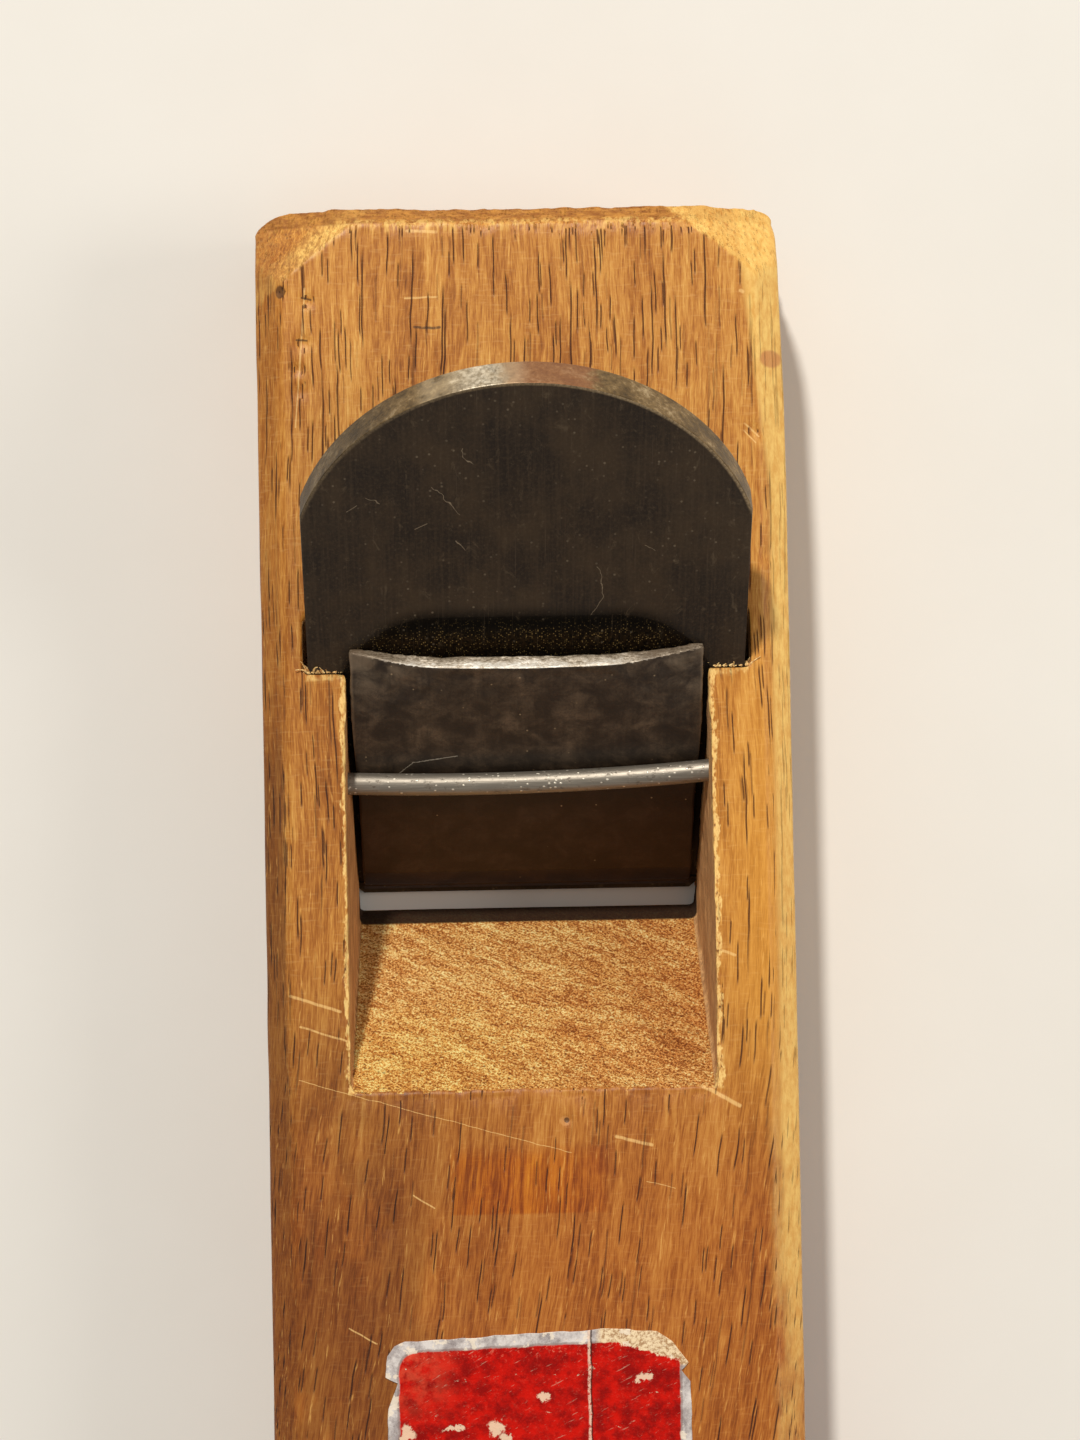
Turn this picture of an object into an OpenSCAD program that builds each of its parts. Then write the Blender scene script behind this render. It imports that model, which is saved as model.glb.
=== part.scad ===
// Japanese hand plane: an oak block with a wedge-shaped laminated blade bedded in
// side grooves, a chipbreaker on the blade's face, and a steel pin across the throat.
// X runs across the plane, +Y towards the end that the mallet strikes, +Z up from the
// sole. The origin is at the middle of the sole.

/* [Block] */
// Length of the block
block_length = 275; // [240:1:320]
// Width of the block
block_width = 83; // [80:0.5:92]
// Height of the block from sole to deck
block_height = 34; // [30:0.5:37]
// Width of the worn chamfer along each long edge of the deck
deck_chamfer_width = 4.4; // [2:0.1:6]
// Depth of that chamfer down the side
deck_chamfer_depth = 3.4; // [1:0.1:6]
// Chamfer round the deck at both ends
end_chamfer = 2.8; // [1:0.1:5]
// Chamfer along the long edges of the sole
sole_chamfer = 1.4; // [0.5:0.1:3]
// Radius of the upright corners at the head end
head_corner_radius = 3.5; // [1:0.1:6]
// Radius of the upright corners at the tail end
tail_corner_radius = 2; // [1:0.1:6]

/* [Head corners] */
// How far along the side each struck corner is cut back, at deck level
corner_cut_side = 15.3; // [8:0.1:24]
// How far across the end each struck corner is cut back, at deck level
corner_cut_end = 18.6; // [8:0.1:24]
// How steeply the corner cuts fall away from the deck
corner_cut_angle = 36; // [20:1:60]

/* [Mouth and throat] */
// Distance from the tail end to the front lip of the mouth
mouth_from_tail = 164.6; // [140:0.1:185]
// Gap between the front lip and the cutting edge when the blade is set
mouth_gap = 1.2; // [0.4:0.1:3]
// Width of the mouth at the sole
mouth_width = 54.6; // [50:0.1:60]
// Width of the throat at the deck
throat_width = 57; // [52:0.1:62]
// Height of the steep lip above the front of the mouth
lip_height = 3.5; // [2:0.1:6]
// How far that lip leans back towards the tail
lip_lean = 2.1; // [0.5:0.1:4]
// Angle of the throat's long front slope above the sole
front_slope_angle = 50; // [45:0.5:60]
// How far the upright toe of the bed reaches above the bottom of the blade grooves
bed_toe = 0.4; // [0.2:0.1:2]

/* [Sole] */
// Depth of the hollows between the bands that touch the work
sole_hollow = 0.25; // [0.1:0.05:0.6]
// Length of the touching band at the tail end
tail_band = 10; // [5:1:20]
// Length of the touching band in front of the mouth
mouth_band = 10; // [5:1:20]
// Length of the touching band at the head end
head_band = 8; // [5:1:20]

/* [Blade] */
// Angle of the blade's face above the sole
face_angle = 43; // [40:0.5:48]
// Angle of the wedge between the blade's face and its back
wedge_angle = 2; // [1:0.1:3]
// Length of the blade from cutting edge to the top of its round head
blade_length = 103; // [95:0.5:115]
// Width of the blade at the shoulders of its head
blade_width = 68.4; // [64:0.1:72]
// Width of the blade just above its ground corners
blade_foot_width = 67.6; // [62:0.1:72]
// Width of the cutting edge between the ground corners
edge_width = 53.2; // [46:0.1:56]
// Height of the ground corners beside the edge
corner_height = 9; // [5:0.5:12]
// Thickness of the wedge, carried on down to the cutting edge
blade_edge_thickness = 4.3; // [3.5:0.1:5.5]
// Thickness at the head
blade_head_thickness = 6.1; // [5:0.1:8]
// Length of the flat back that lies on the bed
blade_bedded_length = 64; // [58:0.5:80]
// Radius of the round head
head_radius = 36; // [35:0.1:45]
// Chamfer round the back of the head
head_back_chamfer = 0.9; // [0.3:0.1:2]
// Angle of the sharpened bevel
bevel_angle = 28; // [24:0.5:34]
// How far the blade is drawn back along the bed in the rest pose
draw_back = 2.1; // [0.5:0.1:5]

/* [Steel on the blade] */
// Thickness of the steel welded to the face
steel_thickness = 1.1; // [0.8:0.1:1.5]
// Length of the steel from the cutting edge
steel_length = 61; // [40:0.5:70]
// Depth of the hollow ground in the steel
hollow_depth = 0.4; // [0.2:0.05:0.6]
// Width of the flat left along the cutting edge
edge_land = 2.2; // [1:0.1:5]
// Width of the flat left along each side
side_land = 4.4; // [2:0.1:8]
// Width of the flat left above the hollow
top_land = 2.6; // [1:0.1:6]
// Radius of the hollow's upper corners
hollow_radius = 16; // [6:0.5:24]

/* [Chipbreaker] */
// Length of the chipbreaker
chip_length = 50.5; // [44:0.5:58]
// Width of the chipbreaker at its top
chip_width = 54; // [48:0.1:56]
// Width of the chipbreaker at its edge
chip_edge_width = 53; // [46:0.1:55]
// Thickness of the plate
chip_thickness = 2.9; // [2:0.1:4]
// Angle of the long bevel at its edge
chip_bevel_angle = 22; // [15:0.5:35]
// Height of the short steep bevel at its edge
chip_micro_height = 0.4; // [0.2:0.05:0.8]
// Angle of the short steep bevel
chip_micro_angle = 52; // [40:1:70]
// Height that the bent ears hold the top of the plate off the blade
ear_height = 1.2; // [0.8:0.1:2]
// Leg of the ear's fold on the left, along the top and down the side
ear_leg_left = 11.5; // [6:0.5:15]
// Leg of the ear's fold on the right
ear_leg_right = 13; // [6:0.5:15]
// How far the hammered ears are drawn out beyond the top edge
ear_draw = 1.1; // [0:0.1:2]
// Thickness left at the tip of each ear
ear_tip_thickness = 1; // [0.6:0.1:2]
// How much of each tip is filed flat where it stands on the blade
ear_foot = 0.25; // [0.1:0.05:0.5]
// Distance of the chipbreaker's edge behind the cutting edge in the rest pose
chip_setback = 1; // [0.5:0.1:3]
// Smallest distance that it is ever set to
chip_least_setback = 0.3; // [0.1:0.1:0.4]
// Thickness of the steel on its underside
chip_steel_thickness = 0.8; // [0.5:0.1:1.2]
// Length of that steel
chip_steel_length = 15; // [10:0.5:25]

/* [Retaining pin] */
// Diameter of the pin
pin_diameter = 3.5; // [2.5:0.1:5]
// Distance of the pin below the deck, measured down the blade's face
pin_from_deck = 17.6; // [14:0.1:24]
// Angle at which the pin was driven across the throat
pin_skew = 1.5; // [0:0.1:2]
// How far each end of the pin lies inside the block's side
pin_recess = 1; // [0.5:0.1:4]

/* [Label] */
// Width of the paper label
label_width = 47.4; // [20:0.1:60]
// Length of the paper label
label_length = 60; // [20:0.5:70]
// Distance from the throat to the label, along the deck
label_from_throat = 37.6; // [10:0.1:50]
// Size of its torn corner
label_torn_corner = 7; // [2:0.5:15]
// Thickness of the paper
label_thickness = 0.2; // [0.1:0.05:0.4]

/* [Fits] */
// Gap between the blade's back and its bed
bed_fit = 0.05; // [0.02:0.01:0.1]
// Gap between the blade's face and the top wall of the grooves, with the blade set
face_fit = 0.08; // [0.05:0.01:0.2]
// Room beside the blade in each groove
groove_side_room = 0.45; // [0.2:0.05:0.8]
// Room below the blade at the bottom of each groove
groove_end_room = 0.8; // [0.4:0.1:1.5]
// How far the edge stands below the sole with the blade fully set
cut_depth = 0.1; // [0:0.05:0.2]
// Gap between the chipbreaker's edge and the blade's face
chip_fit = 0.05; // [0.02:0.01:0.1]
// Least gap between the chipbreaker and the pin
pin_fit = 0.12; // [0.05:0.01:0.3]

/* [Hidden] */

$fn = 96;
// Overshoot that carries a cut clear of the surface it opens
past = 1;
// Size of a cutting solid that is longer than anything here
reach = 400;

oak = [0.50, 0.32, 0.17];
forged_iron = [0.17, 0.15, 0.14];
hard_steel = [0.34, 0.33, 0.32];
patinated_iron = [0.26, 0.23, 0.21];
bright_steel = [0.58, 0.58, 0.57];
red_paper = [0.72, 0.12, 0.10];

bed_angle = face_angle - wedge_angle;
head_y = block_length / 2;
tail_y = -block_length / 2;
side_x = block_width / 2;
lip_y = tail_y + mouth_from_tail;
edge_y = lip_y + mouth_gap;
// Where the bed would meet the sole, and where it meets any other height
bed_foot_y = edge_y + (blade_edge_thickness + bed_fit)
    * (sin(face_angle) + cos(face_angle) / tan(bed_angle));
function bed_y(z) = bed_foot_y + z / tan(bed_angle);
// A line inside the blade, where the throat runs into the slot that the blade fills
function inside_blade_y(z) = edge_y + z / tan(face_angle)
    + blade_edge_thickness / 2 / sin(face_angle);
// Where the front slope stands at any height
function slope_y(z) = lip_y - lip_lean - (z - lip_height) / tan(front_slope_angle);
throat_front_y = slope_y(block_height);
// How much each cheek of the throat leans outwards, per millimetre of height
cheek_lean = (throat_width - mouth_width) / 2 / block_height;
function cheek_x(z) = mouth_width / 2 + cheek_lean * z;
// Length of the face from the sole to the deck
face_in_block = block_height / sin(face_angle);
function blade_thickness_at(u) = blade_edge_thickness + u * tan(wedge_angle);
bevel_heel = blade_edge_thickness / (tan(bevel_angle) - tan(wedge_angle));
// Where the bevelled bottom of the slot meets the bed, up the face and above the sole
slot_heel = bevel_heel - groove_end_room;
slot_heel_z = slot_heel * sin(face_angle)
    - (blade_thickness_at(slot_heel) + bed_fit) * cos(face_angle);
toe_z = slot_heel_z + bed_toe;
chip_tilt = asin(ear_height / chip_length);
pin_along = face_in_block - pin_from_deck;
// How far the blade can pass the point where its edge is level with the sole
overrun = cut_depth / sin(bed_angle);
// Front of the chipbreaker under the pin, at the tightest setting
chip_front_at_pin = chip_fit + chip_thickness / cos(chip_tilt)
    + (pin_along - chip_least_setback + overrun) * tan(chip_tilt);
pin_above_face = chip_front_at_pin + pin_fit + pin_diameter / 2 / cos(chip_tilt);

// A side view, drawn in Y and Z, made width wide across X
module across(width, points) {
    rotate([90, 0, 90])
        translate([0, 0, -width / 2])
            linear_extrude(height = width) polygon(points);
}

// An end view, drawn in X and Z, made length long along Y
module along(length, points) {
    rotate([90, 0, 0])
        translate([0, 0, -length / 2])
            linear_extrude(height = length) polygon(points);
}

// The blade's own frame: Y runs up its face from the cutting edge, Z stands off the face
module on_face() {
    translate([0, edge_y, 0])
        rotate([face_angle, 0, 0]) children();
}

// The same frame with the blade drawn back along its bed, as it lies at rest
module on_drawn_face() {
    translate([0, draw_back * cos(bed_angle), draw_back * sin(bed_angle)])
        on_face() children();
}

// The chipbreaker's frame: tipped up from the face, with its edge at the origin
module on_chip_back() {
    on_drawn_face()
        translate([0, chip_setback, chip_fit])
            rotate([chip_tilt, 0, 0]) children();
}

// The corner left over outside a quarter round, to be cut away at an upright edge
module round_off(radius) {
    difference() {
        translate([-past, -past, -past])
            cube([radius + past, radius + past, block_height + 2 * past]);
        translate([radius, radius, -2 * past])
            cylinder(r = radius, h = block_height + 4 * past);
    }
}

module plain_block() {
    side_view = [
        [tail_y, 0],
        [head_y, 0],
        [head_y, block_height - end_chamfer],
        [head_y - end_chamfer, block_height],
        [tail_y + end_chamfer, block_height],
        [tail_y, block_height - end_chamfer]
    ];
    end_view = [
        [sole_chamfer - side_x, 0],
        [side_x - sole_chamfer, 0],
        [side_x, sole_chamfer],
        [side_x, block_height - deck_chamfer_depth],
        [side_x - deck_chamfer_width, block_height],
        [deck_chamfer_width - side_x, block_height],
        [-side_x, block_height - deck_chamfer_depth],
        [-side_x, sole_chamfer]
    ];
    intersection() {
        across(block_width, side_view);
        along(block_length, end_view);
    }
}

// The slanting cut that takes the corner off the deck where the mallet strikes
module corner_cut() {
    turn = atan2(corner_cut_side, -corner_cut_end);
    translate([side_x, head_y - corner_cut_side, block_height])
        rotate([0, 0, turn])
            rotate([corner_cut_angle, 0, 0])
                translate([-block_width / 2, -block_width / 2, 0])
                    cube([1.5 * block_width, block_width, block_height]);
}

// The throat, from the mouth in the sole up to the deck, between bed and front slope
module throat() {
    top = block_height + past;
    side_view = [
        [lip_y, -past],
        [lip_y, 0],
        [lip_y - lip_lean, lip_height],
        [slope_y(top), top],
        [inside_blade_y(top), top],
        [bed_y(toe_z), toe_z],
        [bed_y(toe_z), -past]
    ];
    end_view = [
        [-cheek_x(-2 * past), -2 * past],
        [cheek_x(-2 * past), -2 * past],
        [cheek_x(2 * top), 2 * top],
        [-cheek_x(2 * top), 2 * top]
    ];
    intersection() {
        across(block_width, side_view);
        along(block_length, end_view);
    }
}

// Outline of the blade seen square to its face, room wider all round than the blade
module blade_outline(room, from, to) {
    half_head = blade_width / 2 + room;
    half_foot = blade_foot_width / 2 + room;
    half_edge = edge_width / 2 + room;
    corner_run = (half_foot - half_edge) / corner_height;
    edge_at = from;
    translate([0, 0, -reach / 2])
        linear_extrude(height = reach)
            polygon([
                [-half_edge - corner_run * edge_at, edge_at],
                [half_edge + corner_run * edge_at, edge_at],
                [half_foot, corner_height],
                [half_head, to],
                [-half_head, to],
                [-half_foot, corner_height]
            ]);
}

// The two grooves that the blade slides in, cut as one slot through both cheeks
module blade_slot() {
    low = -groove_end_room;
    high = face_in_block + 3 * blade_head_thickness;
    on_face()
        intersection() {
            across(block_width, [
                [low, face_fit],
                [high, face_fit],
                [high, -blade_thickness_at(high) - bed_fit],
                [slot_heel, -blade_thickness_at(slot_heel) - bed_fit]
            ]);
            blade_outline(groove_side_room, low - past, high + past);
        }
}

// Shallow hollows that leave three flat bands to touch the work
module sole_hollows() {
    front_from = tail_y + tail_band;
    front_to = lip_y - mouth_band;
    back_from = bed_y(toe_z) + past;
    back_to = head_y - head_band;
    for (span = [[front_from, front_to], [back_from, back_to]])
        translate([-side_x - past, span[0], -past])
            cube([block_width + 2 * past, span[1] - span[0], sole_hollow + past]);
}

// The pin's axis, parallel to the front of the chipbreaker that it holds down
module pin_bar(length) {
    on_face()
        translate([0, pin_along, pin_above_face])
            rotate([chip_tilt, 0, pin_skew])
                rotate([0, 90, 0])
                    cylinder(d = pin_diameter, h = length, center = true);
}

module oak_block() {
    color(oak)
        difference() {
            plain_block();
            for (side = [0, 1])
                mirror([side, 0, 0]) {
                    corner_cut();
                    translate([side_x, head_y, 0])
                        rotate([0, 0, 180]) round_off(head_corner_radius);
                    translate([side_x, tail_y, 0])
                        rotate([0, 0, 90]) round_off(tail_corner_radius);
                }
            throat();
            blade_slot();
            sole_hollows();
            pin_bar(block_width + 4 * past);
        }
}

// The forged wedge: flat face, bevel, bedded back, thinner head with a round top
module blade_form() {
    centre = blade_length - head_radius;
    chamfer_top = head_back_chamfer - blade_head_thickness;
    intersection() {
        across(block_width, [
            [0, 0],
            [blade_length + past, 0],
            [blade_length + past, -blade_head_thickness],
            [blade_bedded_length, -blade_thickness_at(blade_bedded_length)],
            [bevel_heel, -blade_thickness_at(bevel_heel)]
        ]);
        blade_outline(0, 0, blade_length + past);
        union() {
            translate([-block_width / 2, -past, -block_height])
                cube([block_width, centre + past, 2 * block_height]);
            translate([0, centre, chamfer_top])
                cylinder(r = head_radius, h = block_height);
            translate([0, centre, -blade_head_thickness])
                cylinder(r1 = head_radius - head_back_chamfer, r2 = head_radius,
                    h = head_back_chamfer);
        }
    }
}

// The part of the blade's face that is steel
module steel_layer(room) {
    translate([-block_width / 2, -past, -steel_thickness])
        cube([block_width, steel_length + past, steel_thickness + room]);
}

// A shallow hollow in a face, with rounded upper corners
module ground_hollow(width, from, to, radius, depth) {
    corner_x = width / 2 - radius;
    translate([0, 0, -depth]) {
        translate([-width / 2, from, 0])
            cube([width, to - radius - from, depth + past]);
        translate([-corner_x, from, 0])
            cube([2 * corner_x, to - from, depth + past]);
        for (x = [-corner_x, corner_x])
            translate([x, to - radius, 0])
                cylinder(r = radius, h = depth + past);
    }
}

module blade_iron() {
    color(forged_iron)
        on_drawn_face()
            difference() {
                blade_form();
                steel_layer(past);
            }
}

module blade_steel() {
    color(hard_steel)
        on_drawn_face()
            difference() {
                intersection() {
                    blade_form();
                    steel_layer(past);
                }
                ground_hollow(blade_foot_width - 2 * side_land, edge_land,
                    steel_length - top_land, hollow_radius, hollow_depth);
            }
}

// The plate before its corners are bent, edge at the origin and underside on Z = 0
module chip_plate() {
    micro_run = chip_micro_height / tan(chip_micro_angle);
    bevel_run = micro_run + (chip_thickness - chip_micro_height) / tan(chip_bevel_angle);
    intersection() {
        across(block_width, [
            [0, 0],
            [chip_length, 0],
            [chip_length, chip_thickness],
            [bevel_run, chip_thickness],
            [micro_run, chip_micro_height]
        ]);
        translate([0, 0, -past])
            linear_extrude(height = chip_thickness + 2 * past)
                polygon([
                    [-chip_edge_width / 2, 0],
                    [chip_edge_width / 2, 0],
                    [chip_width / 2, chip_length],
                    [-chip_width / 2, chip_length]
                ]);
    }
}

// Everything beyond the line on which the right ear is bent
module beyond_fold(leg) {
    translate([chip_width / 2, chip_length - leg, -block_height])
        rotate([0, 0, -45])
            translate([-block_width / 2, 0, 0])
                cube([block_width, block_width, 2 * block_height]);
}

// One side of a plane that is hinged on the fold and falls away towards the ear's tip
module fold_side(leg, height, angle, below) {
    translate([chip_width / 2, chip_length - leg, height])
        rotate([-angle, 0, -45])
            translate([-block_width / 2, -past, below ? -block_height : 0])
                cube([block_width, block_width, block_height]);
}

// The right ear: the corner hammered thin, drawn out and bent down onto the blade
module ear(leg) {
    to_tip = leg * sin(45) + ear_draw * cos(45);
    under_drop = ear_height + ear_foot;
    front_drop = ear_height + chip_thickness - ear_tip_thickness;
    intersection() {
        translate([0, 0, -block_height])
            linear_extrude(height = 2 * block_height)
                polygon([
                    [chip_width / 2, chip_length - leg],
                    [chip_width / 2, chip_length + ear_draw],
                    [chip_width / 2 - leg, chip_length]
                ]);
        fold_side(leg, chip_thickness, atan(front_drop / to_tip), true);
        fold_side(leg, 0, atan(under_drop / to_tip), false);
        rotate([-chip_tilt, 0, 0])
            translate([-block_width / 2, 0, 0])
                cube([block_width, block_width, block_height]);
    }
}

module chip_steel_layer(room) {
    translate([-block_width / 2, -past, -room])
        cube([block_width, chip_steel_length + past, chip_steel_thickness + room]);
}

module chipbreaker_iron() {
    color(patinated_iron)
        on_chip_back() {
            difference() {
                chip_plate();
                mirror([1, 0, 0]) beyond_fold(ear_leg_left);
                beyond_fold(ear_leg_right);
                chip_steel_layer(past);
            }
            mirror([1, 0, 0]) ear(ear_leg_left);
            ear(ear_leg_right);
        }
}

module chipbreaker_steel() {
    color(bright_steel)
        on_chip_back()
            intersection() {
                chip_plate();
                chip_steel_layer(past);
            }
}

module retaining_pin() {
    color(bright_steel)
        pin_bar((block_width - 2 * pin_recess) / cos(pin_skew));
}

module paper_label() {
    top_y = throat_front_y - label_from_throat;
    half = label_width / 2;
    color(red_paper)
        translate([0, 0, block_height])
            linear_extrude(height = label_thickness)
                polygon([
                    [-half, top_y],
                    [-half, top_y - label_length],
                    [half, top_y - label_length],
                    [half, top_y - label_torn_corner],
                    [half - label_torn_corner, top_y]
                ]);
}

oak_block();
blade_iron();
blade_steel();
chipbreaker_iron();
chipbreaker_steel();
retaining_pin();
paper_label();
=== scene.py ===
import itertools
import math
from functools import reduce

import bmesh
import bpy
import numpy as np
from mathutils import Euler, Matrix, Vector


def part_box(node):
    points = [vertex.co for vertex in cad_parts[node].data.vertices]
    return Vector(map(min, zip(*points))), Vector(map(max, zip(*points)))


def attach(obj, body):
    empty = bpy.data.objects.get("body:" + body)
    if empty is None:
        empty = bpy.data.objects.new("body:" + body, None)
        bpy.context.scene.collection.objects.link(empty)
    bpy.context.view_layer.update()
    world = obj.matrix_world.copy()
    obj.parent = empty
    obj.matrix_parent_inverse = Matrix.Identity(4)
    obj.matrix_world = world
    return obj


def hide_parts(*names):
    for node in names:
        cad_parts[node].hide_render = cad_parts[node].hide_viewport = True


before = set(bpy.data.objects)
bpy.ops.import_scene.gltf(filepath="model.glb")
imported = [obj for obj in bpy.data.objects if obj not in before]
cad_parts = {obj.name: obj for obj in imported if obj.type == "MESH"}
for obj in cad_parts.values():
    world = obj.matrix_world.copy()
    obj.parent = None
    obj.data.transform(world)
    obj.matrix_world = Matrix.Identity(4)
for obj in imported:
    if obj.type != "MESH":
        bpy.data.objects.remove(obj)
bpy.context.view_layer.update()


# The bench: a pale top on which the plane lies on its sole, seen from straight above.
# A soft lamp stands up and to the left, a weaker one on the right, and a pale room fills the rest.


def reckoned(operation):
    """A way to reckon with a tone: what a node makes of it and of any other values."""
    return lambda tone, *others: tone.finish.reckon(operation, tone, *others)


class Tone:
    """A number, place or colour that the nodes of a finish give. Python's signs reckon with it."""

    __add__ = __radd__ = reckoned("ADD")
    __sub__ = reckoned("SUBTRACT")
    __mul__ = __rmul__ = reckoned("MULTIPLY")
    __truediv__ = reckoned("DIVIDE")
    __abs__ = reckoned("ABSOLUTE")
    larger = reckoned("MAXIMUM")
    smaller = reckoned("MINIMUM")
    root = reckoned("SQRT")
    sine = reckoned("SINE")

    def __init__(self, finish, socket):
        self.finish = finish
        self.socket = socket

    def __rsub__(self, other):
        return self.finish.reckon("SUBTRACT", other, self)

    def past(self, start, full):
        """0 up to start and 1 from full on, with a soft rise between them."""
        settings = {"interpolation_type": "SMOOTHSTEP"}
        return self.finish.add("MapRange", settings, {0: self, 1: start, 2: full})


class Finish:
    """A finish under way: its nodes, its colour so far, and its places in millimetres."""

    def __init__(self, name):
        self.material = bpy.data.materials.new(name)
        self.material.use_nodes = True
        self.tree = self.material.node_tree
        self.tree.nodes.clear()
        self.colour = None
        metres = self.add("TexCoord", output="Object")
        self.place = self.scaled(metres, 1000.0)
        self.x, self.y, self.z = self.add("SeparateXYZ", {}, {0: self.place}, (0, 1, 2))

    def add(self, kind, settings=None, inputs=None, output=0):
        """One more node, with its settings made before its inputs. Its output is handed back."""
        node = self.tree.nodes.new("ShaderNode" + kind)
        for name, value in (settings or {}).items():
            setattr(node, name, value)
        for name, value in (inputs or {}).items():
            if isinstance(value, Tone):
                self.tree.links.new(value.socket, node.inputs[name])
            else:
                node.inputs[name].default_value = value
        if isinstance(output, tuple):
            return tuple(Tone(self, node.outputs[which]) for which in output)
        return Tone(self, node.outputs[output])

    def reckon(self, operation, *values):
        return self.add("Math", {"operation": operation}, dict(enumerate(values)))

    def joined(self, x, y, z=0.0):
        return self.add("CombineXYZ", {}, {0: x, 1: y, 2: z})

    def vector(self, operation, first, second=(0, 0, 0), output=0):
        return self.add("VectorMath", {"operation": operation}, {0: first, 1: second}, output)

    def scaled(self, first, share):
        return self.add("VectorMath", {"operation": "SCALE"}, {0: first, "Scale": share})

    def stretched(self, place, cell):
        """The place in cells of so many millimetres across x, y and z."""
        return self.vector("MULTIPLY", place, tuple(1 / size for size in cell))

    def clouds(self, cell, detail=2.0, roughness=0.5, twist=0.0, at=None):
        """Soft random shading from 0 to 1, with its middle at a half."""
        inputs = {"Vector": self.stretched(at or self.place, cell), "Scale": 1.0, "Detail": detail}
        inputs.update(Roughness=roughness, Distortion=twist)
        return self.add("TexNoise", {}, inputs)

    def cells(self, place, cell, settings=None):
        """How far the nearest of many scattered points is, and its own random number."""
        inputs = {"Vector": self.stretched(place, cell), "Scale": 1.0}
        away, own = self.add("TexVoronoi", settings, inputs, (0, 1))
        return away, self.add("SeparateColor", {}, {0: own})

    def dots(self, place, cell, fade, rare):
        """Round dots that fade outward, one to a cell, and fewer the higher the last pair."""
        away, own = self.cells(place, cell)
        return away.past(*fade) * own.past(*rare)

    def ramp(self, tone, stops):
        """The colour at a tone's place among stops, each a place and a seen colour."""
        colour = self.add("ValToRGB", {}, {0: tone})
        elements = colour.socket.node.color_ramp.elements
        while len(elements) < len(stops):
            elements.new(1.0)
        for element, (position, seen) in zip(elements, stops):
            element.position = position
            element.color = paint(*seen)
        return colour

    def mix(self, share, first, second, blend="MIX"):
        """Two colours mixed, each a tone's or a seen colour."""
        first = paint(*first) if isinstance(first, tuple) else first
        second = paint(*second) if isinstance(second, tuple) else second
        settings = {"data_type": "RGBA", "blend_type": blend}
        return self.add("Mix", settings, {0: share, 6: first, 7: second}, 2)

    def cover(self, share, colour):
        """One more layer on the colour so far, as dense as its share."""
        self.colour = self.mix(share, self.colour, colour)

    def tint(self, share, colour):
        """A clear stain on the colour so far, as strong as its share."""
        self.colour = self.mix(share, self.colour, colour, "MULTIPLY")

    def dim(self, light):
        """The light of the colour so far taken down or up, which keeps its hue."""
        self.colour = self.scaled(self.colour, light)

    def line(self, place, start, end, half_width):
        """1 on a straight mark from start to end across the top, and 0 beside it."""
        run = (end[0] - start[0], end[1] - start[1], 0)
        length = run[0] ** 2 + run[1] ** 2
        away = self.vector("SUBTRACT", place, (*start, 0))
        share = self.vector("DOT_PRODUCT", away, run, 1)
        share = self.add("Math", {"operation": "DIVIDE", "use_clamp": True}, {0: share, 1: length})
        nearest = self.scaled(run, share)
        beside = self.vector("DISTANCE", away, nearest, 1)
        return beside.past(half_width, half_width * 0.35)

    def marks(self, place, marks):
        """1 on any of several straight marks, each a start, an end and a half width."""
        return reduce(Tone.larger, (self.line(place, *mark) for mark in marks))

    def spot(self, place, middle, across, along):
        """1 in a round or long spot on the top, and 0 outside it."""
        away = self.vector("SUBTRACT", place, (*middle, 0))
        away = self.stretched(away, (across, along, 1))
        return self.vector("LENGTH", away, output=1).past(1.0, 0.7)

    def done(self, height=None, **sockets):
        """Closes the finish with its colour, a relief in millimetres, and the sockets named."""
        inputs = {name.replace("_", " "): value for name, value in sockets.items()}
        inputs["Base Color"] = self.colour
        if height is not None:
            bump = {"Height": height, "Distance": 0.001, "Strength": 1.0}
            inputs["Normal"] = self.add("Bump", {}, bump)
        shader = self.add("BsdfPrincipled", {}, inputs)
        self.add("OutputMaterial", {}, {0: shader}, output=())
        return self.material


def past_box(across, along, half_wide, half_long):
    """How far places are outside a rectangle around the middle, on a finish."""
    beside = (abs(across) - half_wide).larger(0)
    ahead = (abs(along) - half_long).larger(0)
    return (beside * beside + ahead * ahead).root()


def paint(red, green, blue):
    """A colour as it is seen, from 0 to 255, in the amounts of light that the nodes work in."""
    parts = [value / 255 for value in (red, green, blue)]
    parts = [part / 12.92 if part < 0.04045 else ((part + 0.055) / 1.055) ** 2.4 for part in parts]
    return (*parts, 1.0)


def linked(name, mesh):
    """A new piece of that name in the scene."""
    mesh.update()
    piece = bpy.data.objects.new(name, mesh)
    bpy.context.scene.collection.objects.link(piece)
    return piece


bench_mesh = bpy.data.meshes.new("bench_top")
bench_mesh.from_pydata([(-3, -3, 0), (3, -3, 0), (3, 3, 0), (-3, 3, 0)], [], [(0, 1, 2, 3)])
bench = linked("bench_top", bench_mesh)
limed = Finish("limed_board")
limed_grain = limed.clouds((40, 40, 40), 6.0, 0.6)
limed.colour = limed.mix(limed_grain, (226, 222, 214), (232, 229, 222))
bench_mesh.materials.append(limed.done(Roughness=0.9))

for name, place, size, power in (
    ("window_lamp", (-0.342, 1.264, 1.6), 0.13, 33.0),
    ("side_lamp", (0.95, 0.05, 0.75), 0.5, 3.4),
):
    lamp_data = bpy.data.lights.new(name, "AREA")
    lamp_data.shape = "DISK"
    lamp_data.size = size
    lamp_data.energy = power
    lamp_data.color = (1.0, 0.96, 0.9)
    lamp = bpy.data.objects.new(name, lamp_data)
    lamp.location = place
    to_plane = Vector((0, 0.045, 0.03)) - lamp.location
    lamp.rotation_euler = to_plane.to_track_quat("-Z", "Y").to_euler()
    bpy.context.scene.collection.objects.link(lamp)

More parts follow.
